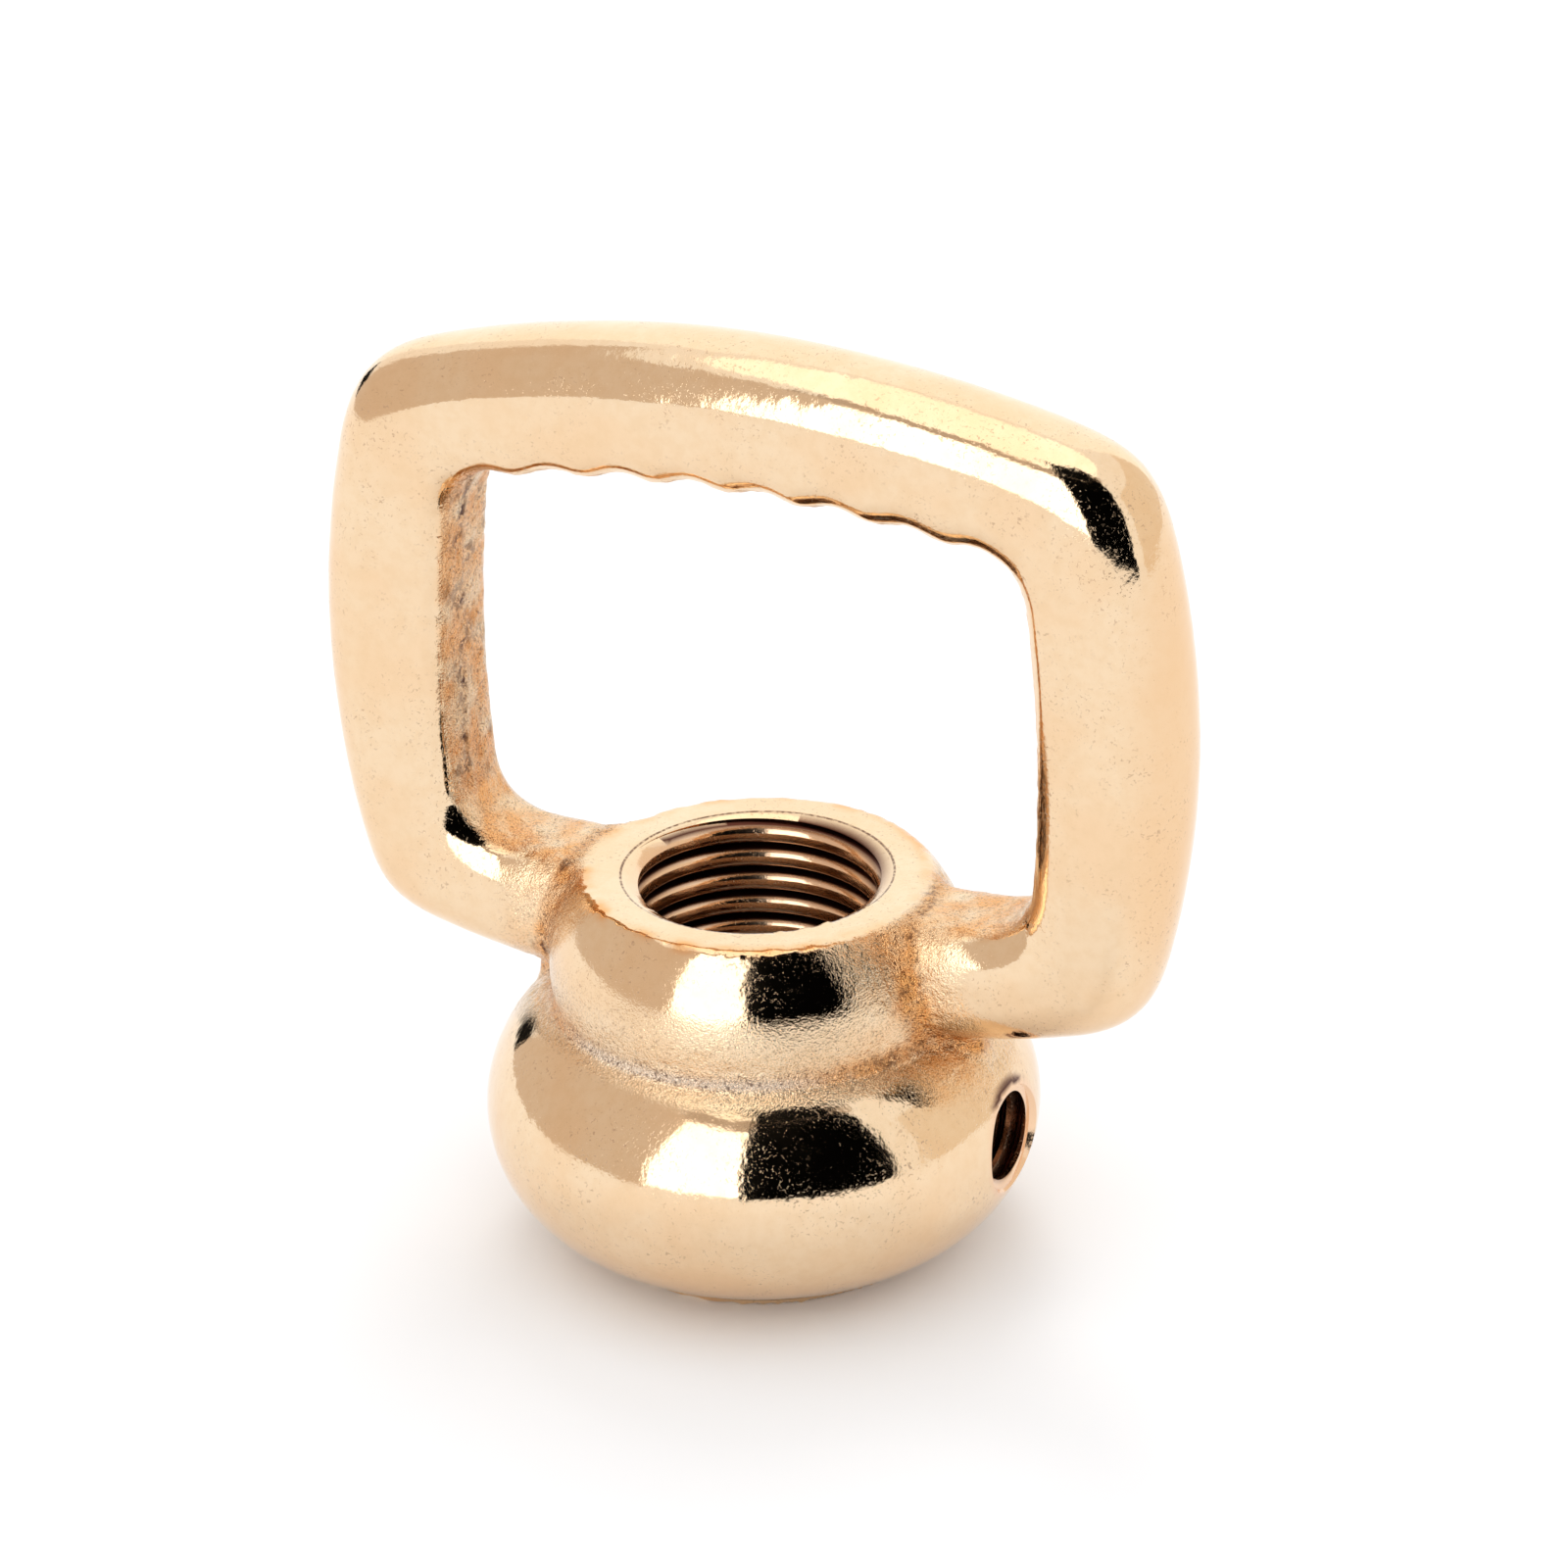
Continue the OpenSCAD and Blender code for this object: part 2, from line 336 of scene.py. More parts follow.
def surface_net(values, origin, step):
    """Points and quads of the zero surface of a grid of values: one point in each cell that it crosses."""
    inside = values < 0
    cells = tuple(n - 1 for n in values.shape)
    total = np.zeros((*cells, 3), np.float32)
    count = np.zeros(cells, np.int32)
    crossings = []
    for axis in range(3):
        here = [slice(None)] * 3
        there = [slice(None)] * 3
        here[axis], there[axis] = slice(0, -1), slice(1, None)
        a, b = values[tuple(here)], values[tuple(there)]
        crossed = inside[tuple(here)] != inside[tuple(there)]
        at = np.argwhere(crossed)
        t = a[crossed] / (a[crossed] - b[crossed])
        point = at.astype(np.float32)
        point[:, axis] += t
        others = [k for k in range(3) if k != axis]
        keep = np.all([(at[:, k] > 0) & (at[:, k] < values.shape[k] - 1) for k in others], axis=0)
        at, point = at[keep], point[keep]
        ring = []
        for du, dv in ((-1, -1), (0, -1), (0, 0), (-1, 0)):
            cell = at.copy()
            cell[:, others[0]] += du
            cell[:, others[1]] += dv
            index = tuple(cell.T)
            np.add.at(total, index, point)
            np.add.at(count, index, 1)
            ring.append(np.ravel_multi_index(index, cells))
        ring = np.stack(ring, 1)
        outward = inside[tuple(here)][crossed][keep]
        flip = outward if axis != 1 else ~outward
        ring[~flip] = ring[~flip][:, ::-1]
        crossings.append(ring)
    used = np.flatnonzero(count.ravel())
    points = total.reshape(-1, 3)[used] / count.ravel()[used][:, None] * step + origin
    number = np.full(count.size, -1)
    number[used] = np.arange(len(used))
    return points.astype(float), number[np.concatenate(crossings)]


def relaxed(points, quads, rounds=4):
    """Evens out the points along the surface and puts each one back on it."""
    edges = np.concatenate([quads[:, [0, 1]], quads[:, [1, 2]], quads[:, [2, 3]], quads[:, [3, 0]]])
    degree = np.bincount(edges.ravel(), minlength=len(points)).astype(float)[:, None]
    for turn in range(rounds + 1):
        if turn:
            mean = np.zeros_like(points)
            for k in range(3):
                mean[:, k] += np.bincount(edges[:, 0], points[edges[:, 1], k], len(points))
                mean[:, k] += np.bincount(edges[:, 1], points[edges[:, 0], k], len(points))
            g = gradient(points)
            n = g / np.maximum(np.linalg.norm(g, axis=1), 1e-6)[:, None]
            move = mean / degree - points
            points = points + 0.6 * (move - n * np.sum(move * n, axis=1)[:, None])
        for _ in range(2):
            g = gradient(points)
            size2 = np.maximum(np.sum(g * g, axis=1), 0.05)
            step = casting_distance(*points.T) / size2
            points = points - g * np.clip(step, -GRID / 2, GRID / 2)[:, None]
    return points


def casting_skin():
    margin = 2 * GRID
    low = np.array([-FRAME_W / 2, -BALL_D / 2, 0]) - margin
    high = np.array([FRAME_W / 2, BALL_D / 2, TOTAL_H]) + margin
    axes = [np.arange(a, b + GRID, GRID) for a, b in zip(low, high)]
    values = np.empty([len(a) for a in axes], np.float32)
    xs, zs = (a.ravel() for a in np.meshgrid(axes[0], axes[2], indexing="ij"))
    for j, y in enumerate(axes[1]):
        values[:, j, :] = casting_distance(xs, np.full(len(xs), y), zs).reshape(len(axes[0]), len(axes[2]))
    points, quads = surface_net(values, low, GRID)
    return relaxed(points, quads), quads


# ---------------------------------------------------------------- mesh helpers
def new_mesh(name, points, faces):
    mesh = bpy.data.meshes.new(name)
    mesh.from_pydata((np.asarray(points) * MM).tolist(), [], [list(map(int, f)) for f in faces])
    mesh.update()
    obj = bpy.data.objects.new(name, mesh)
    bpy.context.scene.collection.objects.link(obj)
    return obj


def applied(obj):
    """Bakes the object's modifiers into its mesh."""
    bpy.context.view_layer.update()
    done = bpy.data.meshes.new_from_object(obj.evaluated_get(bpy.context.evaluated_depsgraph_get()))
    obj.modifiers.clear()
    obj.data = done
    return obj


def cut(obj, tool, operation="DIFFERENCE"):
    change = obj.modifiers.new("cut", "BOOLEAN")
    change.operation, change.solver, change.object = operation, "MANIFOLD", tool
    applied(obj)
    bpy.data.objects.remove(tool)
    return obj


def without_slivers(obj):
    """Merges the points that a cut left on top of each other."""
    mesh = bmesh.new()
    mesh.from_mesh(obj.data)
    bmesh.ops.remove_doubles(mesh, verts=mesh.verts, dist=SLIVER * MM)
    bmesh.ops.dissolve_degenerate(mesh, edges=mesh.edges, dist=SLIVER * MM)
    mesh.to_mesh(obj.data)
    mesh.free()
    obj.data.update()
    return obj


def revolved(name, profile, sides=128):
    """A closed solid turned round Z from [r, z] points that start and end on the axis."""
    turn = 2 * np.pi * np.arange(sides) / sides
    rings = [(r, z) for r, z in profile if r > 0]
    points = [(r * math.cos(a), r * math.sin(a), z) for r, z in rings for a in turn]
    faces = []
    for k in range(len(rings) - 1):
        for i in range(sides):
            j = (i + 1) % sides
            faces.append((k * sides + i, k * sides + j, (k + 1) * sides + j, (k + 1) * sides + i))
    faces.append([i for i in reversed(range(sides))])
    faces.append([(len(rings) - 1) * sides + i for i in range(sides)])
    return new_mesh(name, points, faces)


def threaded_rod(name, inner_r, outer_r, pitch, low, high, rounded=False, sides=96, phase=0.0):
    """A closed rod along Z with a right-hand thread, which is either sharp or worn round.

    The thread's phase shifts it along Z by that share of its pitch.
    """
    crest, root = 0.125, 0.25
    flank = (1 - crest - root) / 2
    corners = [(0, inner_r), (root, inner_r), (root + flank, outer_r), (root + flank + crest, outer_r)]
    if rounded:
        rise = (0, 0.03, 0.14, 0.46, 1, 0.46, 0.14, 0.03)
        corners = [(k / len(rise), inner_r + (outer_r - inner_r) * up) for k, up in enumerate(rise)]
    first = math.floor(low / pitch) - 1
    turns = math.ceil((high - low) / pitch) + 2
    turn = np.arange(sides) / sides
    circle = [(math.cos(2 * math.pi * t), math.sin(2 * math.pi * t), t) for t in turn]
    points = [(r * c, r * s, pitch * (first + k + at + t + phase))
              for k in range(turns) for at, r in corners for c, s, t in circle]
    rows, per_turn = turns * len(corners), len(corners)

    def point(row, col):
        return (row + per_turn) * sides if col == sides else row * sides + col

    faces = [(point(row, c), point(row, c + 1), point(row + 1, c + 1), point(row + 1, c))
             for row in range(rows - per_turn - 1) for c in range(sides)]
    last = rows - per_turn - 1
    bottom = [point(0, c) for c in range(sides)] + [point(k, 0) for k in range(per_turn, 0, -1)]
    top = [point(last, c) for c in range(sides)] + [point(last + k, 0) for k in range(per_turn, 0, -1)]
    for rim, z, outward in ((bottom, first * pitch - pitch, -1), (top, points[top[-1]][2] + pitch, 1)):
        points.append((0, 0, z))
        centre = len(points) - 1
        for a, b in zip(rim, rim[1:] + rim[:1]):
            faces.append((a, b, centre) if outward > 0 else (b, a, centre))
    return new_mesh(name, points, faces)


def along_x(obj, z):
    """Turns an object that was made along Z so that it lies along +X at height z."""
    obj.data.transform(Matrix.Translation((0, 0, z * MM)) @ Matrix.Rotation(math.pi / 2, 4, "Y"))
    return obj


def box(name, low, high):
    corners = [(x, y, z) for x in (low[0], high[0]) for y in (low[1], high[1]) for z in (low[2], high[2])]
    faces = [(0, 1, 3, 2), (4, 6, 7, 5), (0, 4, 5, 1), (2, 3, 7, 6), (0, 2, 6, 4), (1, 5, 7, 3)]
    return new_mesh(name, corners, faces)


# ---------------------------------------------------------------- the casting
def pipe_bore(casting):
    """Taps the pipe bore, countersinks its mouth and chamfers its foot."""
    cut(casting, threaded_rod("pipe_tap", BORE_R, BORE_GROOVE_R, BORE_PITCH, -PAST, HUB_H + PAST,
                              rounded=True, sides=112, phase=BORE_PHASE))
    widening = (MOUTH_R - BORE_R) / MOUTH_DEPTH
    cut(casting, revolved("mouth", [
        (0, HUB_H - MOUTH_DEPTH), (BORE_R, HUB_H - MOUTH_DEPTH),
        (MOUTH_R + widening * PAST, HUB_H + PAST), (0, HUB_H + PAST)]))
    foot = BORE_R + BORE_FOOT_CHAMFER
    cut(casting, revolved("foot_chamfer", [
        (0, -PAST), (foot + PAST, -PAST), (BORE_R, BORE_FOOT_CHAMFER), (0, BORE_FOOT_CHAMFER)]))


def screw_hole(casting):
    """Taps the set screw's hole from the side of the ball into the bore, with a chamfered mouth."""
    flare = 2 * PAST
    cut(casting, along_x(revolved("tap_mouth", [
        (0, TAP_MOUTH_X), (TAP_GROOVE_R, TAP_MOUTH_X), (TAP_GROOVE_R + flare, TAP_MOUTH_X + flare),
        (0, TAP_MOUTH_X + flare)], 64), SCREW_Z))
    inner_end, outer_end = 3.5, BALL_D / 2 + 1
    tap = threaded_rod("screw_tap", TAP_R, TAP_GROOVE_R, TAP_PITCH, 3, outer_end + 1, sides=64)
    limit = revolved("tap_limit", [(0, inner_end), (3, inner_end), (3, outer_end), (0, outer_end)], 48)
    cut(casting, along_x(cut(tap, limit, "INTERSECT"), SCREW_Z))


def make_casting():
    casting = new_mesh("loop_casting_cast", *casting_skin())
    pipe_bore(casting)
    screw_hole(casting)
    return without_slivers(casting)


# ---------------------------------------------------------------- the casting's rough and worn places
def mesh_points(obj):
    flat = np.empty(len(obj.data.vertices) * 3)
    obj.data.vertices.foreach_get("co", flat)
    return flat.reshape(-1, 3) / MM


def step_down(value, low, high):
    """Falls smoothly from 1 at low to 0 at high."""
    return 1 - step_up(value, low, high)


def cast_zones(points):
    """How much each point belongs to each kind of place on the casting, from 0 to 1."""
    x, y, z = points.T
    f = casting_fields(x, y, z)
    r = np.hypot(x, y)
    from_screw = np.where((x > 0) & (z < 9), np.hypot(y, z - SCREW_Z), 9)

    # The tapped holes and their mouths are machined, and everything else is as cast.
    bore = np.where((z < HUB_H - 0.2) & (z > 0.3), step_down(r, BORE_GROOVE_R, BORE_GROOVE_R + 0.06), 0)
    bore = np.maximum(bore, step_down(from_screw, 2.15, 2.45))
    in_tap = np.where(x < TAP_MOUTH_X - 0.05, 0.5 + 0.5 * step_up(from_screw, 1.65, 1.85), 0)
    # Painted shade: the thread grooves of both tapped holes are darkened to dark brown in the material.
    groove_shade = bore * np.where(from_screw < 3, in_tap, step_up(r, 4.5, 4.7))
    off_bore = np.where(z > HUB_H + 1, 1, step_up(r, MOUTH_R + 0.1, MOUTH_R + 0.45))
    skin = off_bore * step_up(from_screw, 2.25, 2.7) * step_up(z, 0.02, 0.3)

    # Between the ball and the collar runs a crease, and fillets join the hub to the bars.
    below_eye = step_down(z, HUB_H + 0.3, HUB_H + 0.8)
    at_hub = below_eye * step_down(f["hub"], 0.5, 1.2)
    off_rim = step_up(r, 6.3, 6.9)
    seam = step_down(f["ball_to_collar"], 0.1, 0.55) * at_hub
    crease = step_down(f["ball_to_collar"], 0.2, 1.1) * at_hub
    near_crease = step_down(f["ball_to_collar"], 1.2, 3.0) * at_hub
    fillet = step_down(f["hub_to_bar"], 0.25, 1.3) * at_hub * off_rim
    near_fillet = step_down(f["hub_to_bar"], 1.0, 3.2) * below_eye * step_down(f["hub"], 1.2, 3.2) * off_rim

    # The faces round the eye, and their edges.
    to_eye = np.abs(f["past_eye"])
    on_face = step_down(to_eye, 0.05, 0.3)
    inner_face = on_face * step_up(z, HUB_H + 1, HUB_H + 2)
    bar_top = on_face * step_down(z, HUB_H + 1, HUB_H + 2) * step_up(r, 6.6, 8.2)
    edge = step_down(to_eye, 0.05, 0.4) * step_down(np.abs(f["solid"]), 0.05, 0.4)

    as_cast = {"seam": seam, "crease": crease, "near_crease": near_crease, "fillet": fillet,
               "near_fillet": near_fillet, "on_face": on_face, "inner_face": inner_face,
               "bar_top": bar_top, "edge": edge}
    zones = {name: amount * skin for name, amount in as_cast.items()}
    # Painted shade: the frame's outer sides are given a darker, warmer gold.
    outer_side_shade = step_up(np.abs(x), FRAME_W / 2 - 2.1, FRAME_W / 2 - 0.4)
    return zones | {"skin": skin, "bore": bore, "groove_shade": groove_shade, "outer_side_shade": outer_side_shade}


def strongest(zones, shares):
    """The largest of some zones, each times its share."""
    return np.maximum.reduce([share * zones[name] for name, share in shares.items()])


def refined(obj):
    """Halves the mesh's edges where the casting is grainy, so that the grain is real shape."""
    zones = cast_zones(mesh_points(obj))
    fine = strongest(zones, {"crease": 1, "fillet": 1, "near_fillet": 0.4, "bar_top": 1,
                             "inner_face": 0.9, "edge": 0.9}) > 0.2
    mesh = bmesh.new()
    mesh.from_mesh(obj.data)
    mesh.verts.ensure_lookup_table()
    chosen = [e for e in mesh.edges
              if fine[e.verts[0].index] and fine[e.verts[1].index] and e.calc_length() > FINE_EDGE * MM]
    bmesh.ops.subdivide_edges(mesh, edges=chosen, cuts=1, use_grid_fill=True)
    mesh.to_mesh(obj.data)
    mesh.free()
    obj.data.update()
    return obj


def parting_line(points):
    """Where the mould's wandering parting line runs across the inner faces, as a value of y."""
    z = points[:, 2]
    return 0.35 * noise(np.c_[z, z * 0 + 3, z * 0], 2.6, 7) - 0.3


def cast_relief(points, zones):
    """Height in mm of the casting's waves, grain, pits and parting lines above its smooth skin."""
    x, y, z = points.T
    r = np.hypot(x, y)
    turn = np.arctan2(y, x)
    waves = 0.02 * noise(points, 3.6, 1) + 0.008 * noise(points, 1.4, 2)
    grain = 0.034 * noise(points, 0.40, 3) + 0.03 * noise(points, 0.24, 4)
    streaks = 0.05 * noise(np.c_[turn * 8.5, z * 0.8, r * 0.8], 0.2, 5)
    pits = -0.07 * np.clip(noise(points, 0.34, 6) - 0.25, 0, 0.5)
    broken = step_up(noise(points, 0.9, 8), -0.5, 0.3)
    parting = 0.06 * np.exp(-((y - parting_line(points)) / 0.13) ** 2) * broken
    height = waves * zones["skin"] * (1 - 0.6 * zones["on_face"])
    height += grain * strongest(zones, {"fillet": 1, "near_fillet": 0.4, "bar_top": 0.55,
                                        "inner_face": 0.8, "crease": 0.5})
    height += streaks * zones["seam"] + 0.6 * streaks * zones["fillet"]
    height += pits * strongest(zones, {"near_crease": 1, "near_fillet": 1, "bar_top": 1,
                                       "inner_face": 1, "skin": 0.2})
    height += parting * zones["inner_face"]
    height += 0.03 * noise(points, 0.3, 9) * zones["edge"]
    return height


def rim_burr(points):
    """How far a burr stands up on the front right of the bore's rim."""
    x, y, z = points.T
    angle = np.arctan2(y, x)
    at_rim = np.exp(-((np.hypot(x, y) - MOUTH_R) / 0.08) ** 2) * (z > HUB_H - 0.05)
    front_right = np.exp(-((angle + 0.75) / 0.6) ** 2)
    ragged = np.clip(noise(np.c_[angle * 5, angle * 0, angle * 0], 0.45, 10), 0, 1)
    return 0.09 * at_rim * front_right * ragged


def plating_looks(points, zones):
    """Where the plating is grainy, stained or silvery, and where shade is painted into its colour, from 0 to
    1, for the material.
    """
    side = step_up(np.abs(points[:, 0]), 3.5, 6.5)
    right_side = step_up(points[:, 0], 4.5, 7.5)
    blotch = step_up(noise(points, 0.8, 11), -0.7, 0.5)
    # Painted shade: a coppery tint in the fillets, at the crease's sides, along the eye's edges and in
    # blotches on the inner faces, standing in for light bounced between the gold's own surfaces.
    hollow_shade = np.maximum.reduce([zones["fillet"] * (0.45 + 0.55 * blotch), zones["crease"] * 0.8 * side,
                                zones["edge"] * 0.9 * blotch, zones["inner_face"] * 0.35 * blotch,
                                zones["near_fillet"] * 0.25 * blotch])
    beside_line = np.exp(-((points[:, 1] - parting_line(points) + 0.25) / 0.3) ** 2)
    patchy = 0.6 * noise(points, 0.9, 12) + 0.5 * noise(points, 0.3, 17)
    # Dark brown patches: beside the parting line and over the inner faces, in the fillets, and in the crease
    # on the +X side.
    dark_patches = np.maximum.reduce([
        zones["inner_face"] * beside_line * step_up(patchy, -0.2, 0.5),
        zones["inner_face"] * step_up(noise(points, 0.7, 15), 0.0, 0.7) * 0.6,
        zones["fillet"] * step_up(noise(points, 0.6, 13), 0.2, 0.7) * 0.9,
        zones["crease"] * right_side * step_up(noise(points, 0.5, 16), 0.1, 0.5) * 0.8])
    grain = strongest(zones, {"fillet": 1, "crease": 1, "bar_top": 0.6, "inner_face": 0.9,
                              "near_crease": 0.45, "near_fillet": 0.45})
    silver = strongest(zones, {"seam": 1, "crease": 0.25}) * (1 - side)
    return {"grain": grain, "hollow_shade": hollow_shade, "dark_patches": dark_patches, "silver": silver, "groove_shade": zones["groove_shade"],
            "bore": zones["bore"], "outer_side_shade": zones["outer_side_shade"]}


def roughened(obj):
    """Puts the points back on the skin, raises the relief, and stores where the plating differs and where
    shade is painted.
    """
    refined(obj)
    points = mesh_points(obj)
    zones = cast_zones(points)
    slope = gradient(points)
    steep = np.maximum(np.sum(slope * slope, axis=1), 0.2)
    off_skin = np.clip(casting_distance(*points.T) / steep, -0.05, 0.05) * (zones["skin"] > 0.5)
    normal = slope / np.sqrt(steep)[:, None]
    points = points - slope * off_skin[:, None] + normal * cast_relief(points, zones)[:, None]
    points[:, 2] += rim_burr(points)

    inside = 0.001
    low = np.array(casting_low) / MM + inside
    high = np.array(casting_high) / MM - inside
    low[2] = 0
    points = np.clip(points, low, high)
    obj.data.vertices.foreach_set("co", (points * MM).ravel())
    for name, values in plating_looks(points, zones).items():
        stored = obj.data.attributes.new(name, "FLOAT", "POINT")
        stored.data.foreach_set("value", values.astype(np.float32))
    obj.data.update()
    return obj


# ---------------------------------------------------------------- the set screw
def make_set_screw():
    """A headless screw with a flat point, an edge taken off its slotted end, and a leaning slot."""
    body_r = TAP_GROOVE_R - THREAD_GAP
    wide = TAP_GROOVE_R + 0.2
    screw = threaded_rod("set_screw_turned", TAP_R - THREAD_GAP, body_r, TAP_PITCH,
                         SCREW_TIP, SCREW_HEAD, sides=64)
    cut(screw, revolved("screw_blank", [
        (0, SCREW_TIP), (POINT_R, SCREW_TIP), (wide, SCREW_TIP + (wide - POINT_R)),
        (wide, SCREW_HEAD - SCREW_EDGE - (wide - body_r)), (body_r - SCREW_EDGE, SCREW_HEAD),
        (0, SCREW_HEAD)], 64), "INTERSECT")
    slot = box("slot", (-wide, -SLOT_W / 2, SCREW_HEAD - SLOT_DEPTH), (wide, SLOT_W / 2, SCREW_HEAD + PAST))
    slot.data.transform(Matrix.Rotation(-SLOT_ANGLE, 4, "Z"))
    cut(screw, slot)
    return along_x(without_slivers(screw), SCREW_Z)


def smooth(obj, angle):
    """Shades an object smoothly, except over edges sharper than the angle in degrees."""
    obj.data.shade_smooth()
    obj.data.set_sharp_from_angle(angle=math.radians(angle))


# ---------------------------------------------------------------- materials
class Nodes:
    """Short calls for building a material's node tree."""

    def __init__(self, name):
        self.material = bpy.data.materials.new(name)
        self.material.use_nodes = True
        self.tree = self.material.node_tree
        self.tree.nodes.clear()

    def add(self, kind, inputs=None, **settings):
        node = self.tree.nodes.new(kind)
        for key, value in settings.items():
            setattr(node, key, value)
        for key, value in (inputs or {}).items():
            self.set(node.inputs[key], value)
        return node

    def set(self, socket, value):
        if isinstance(value, bpy.types.NodeSocket):
            self.tree.links.new(value, socket)
        else:
            socket.default_value = value

    def math(self, operation, a, b=0.0, clamp=False):
        return self.add("ShaderNodeMath", {0: a, 1: b}, operation=operation, use_clamp=clamp).outputs[0]

    def noise(self, where, per_mm, detail=2.0, rough=0.5, distortion=0.0):
        return self.add("ShaderNodeTexNoise", {"Vector": where, "Scale": per_mm, "Detail": detail,
                        "Roughness": rough, "Distortion": distortion}).outputs[0]

    def ramp(self, value, low, high, out_low=0.0, out_high=1.0):
        node = self.add("ShaderNodeMapRange", {"Value": value, "From Min": low, "From Max": high,
                        "To Min": out_low, "To Max": out_high}, interpolation_type="SMOOTHSTEP")
        return node.outputs[0]

    def mix(self, factor, a, b):
        node = self.add("ShaderNodeMix", data_type="RGBA")
        self.set(node.inputs[0], factor)
        self.set(node.inputs[6], a)
        self.set(node.inputs[7], b)
        return node.outputs[2]

    def circle_line(self, mm, radius, height, width):
        """1 on a thin line round the Z axis, fading to 0 at `width` mm from it."""
        place = self.add("ShaderNodeSeparateXYZ", {0: mm}).outputs
        squares = [self.math("MULTIPLY", place[k], place[k]) for k in (0, 1)]
        out = self.math("SUBTRACT", self.math("SQRT", self.math("ADD", *squares)), radius)
        up = self.math("SUBTRACT", place[2], height)
        squares = [self.math("MULTIPLY", a, a) for a in (out, up)]
        return self.ramp(self.math("SQRT", self.math("ADD", *squares)), width, 0.35 * width)

    def metal(self, colour, rough, height):
        """Finishes the material as a metal with these colours, roughness and heights in mm."""
        bump = self.add("ShaderNodeBump", {"Height": height, "Strength": 1.0, "Distance": MM})
        shader = self.add("ShaderNodeBsdfPrincipled", {"Base Color": colour, "Metallic": 1.0,
                          "Roughness": rough, "Normal": bump.outputs[0]})
        self.add("ShaderNodeOutputMaterial", {"Surface": shader.outputs[0]})
        return self.material

    def millimetres(self):
        where = self.add("ShaderNodeTexCoord").outputs["Object"]
        return self.add("ShaderNodeVectorMath", {0: where, 1: (1000, 1000, 1000)},
                        operation="MULTIPLY").outputs[0]


# Colours of the metal, as reflectance, and the colours that paint shade onto it.
PALE_GOLD, WARM_GOLD = (0.85, 0.645, 0.43, 1), (0.84, 0.60, 0.375, 1)
MOTTLED_GOLD, OUTER_SHADE_GOLD = (0.78, 0.545, 0.32, 1), (0.80, 0.52, 0.29, 1)
SILVERY, HOLLOW_SHADE_COPPER = (0.78, 0.66, 0.55, 1), (0.80, 0.39, 0.135, 1)
BORE_COPPER = (0.84, 0.57, 0.37, 1)
# LINE_BROWN darkens a broken line round the bore's mouth and the shade painted round the foot ring.
SPECK_BROWN, LINE_BROWN = (0.38, 0.24, 0.155, 1), (0.13, 0.055, 0.03, 1)
# A dark brown for stains, dots and the shade painted into the thread grooves.
STAIN_AND_SHADE_BROWN = (0.085, 0.028, 0.018, 1)
ROSE_GOLD, DULL_ROSE = (0.84, 0.55, 0.36, 1), (0.76, 0.46, 0.29, 1)
ROSE_STAIN = (0.34, 0.18, 0.10, 1)


def cast_gold_colour(n, mm, part, cloud, fine, specks, darkening):
    """The plating's colour: clouds and mottling, silvery and stained places, and painted shade."""
    mottle = n.ramp(n.noise(mm, 2.2, 4, 0.65), 0.35, 0.7, 0, 0.4)
    uneven = n.ramp(n.noise(mm, 1.6, 4), 0.3, 0.55, 0.5, 1.0)
    colour = n.mix(n.ramp(cloud, 0.38, 0.66), PALE_GOLD, WARM_GOLD)
    colour = n.mix(mottle, colour, MOTTLED_GOLD)
    # Painted shade: a darker gold on the frame's outer sides.
    colour = n.mix(n.math("MULTIPLY", part["outer_side_shade"], 0.6), colour, OUTER_SHADE_GOLD)
    colour = n.mix(n.math("MULTIPLY", part["silver"], 0.7), colour, SILVERY)
    # Painted shade: the coppery tint of light bounced round the hollows.
    colour = n.mix(n.math("MULTIPLY", part["hollow_shade"], uneven), colour, HOLLOW_SHADE_COPPER)
    colour = n.mix(n.math("MULTIPLY", specks, 0.5), colour, SPECK_BROWN)
    colour = n.mix(part["bore"], colour, BORE_COPPER)
    # Stains, dots and the painted shade of the thread grooves, in dark brown.
    colour = n.mix(darkening, colour, STAIN_AND_SHADE_BROWN)
    mouth_line = n.math("MULTIPLY", n.circle_line(mm, MOUTH_R, HUB_H, 0.07), n.ramp(fine, 0.3, 0.6, 0.2, 0.9))
    # Painted shade: a dark line round the foot ring stands in for the shade of a groove there.
    foot_shade_line = n.circle_line(mm, FOOT_R, FOOT_LINE_Z, 0.22)
    return n.mix(n.math("MAXIMUM", mouth_line, foot_shade_line), colour, LINE_BROWN)


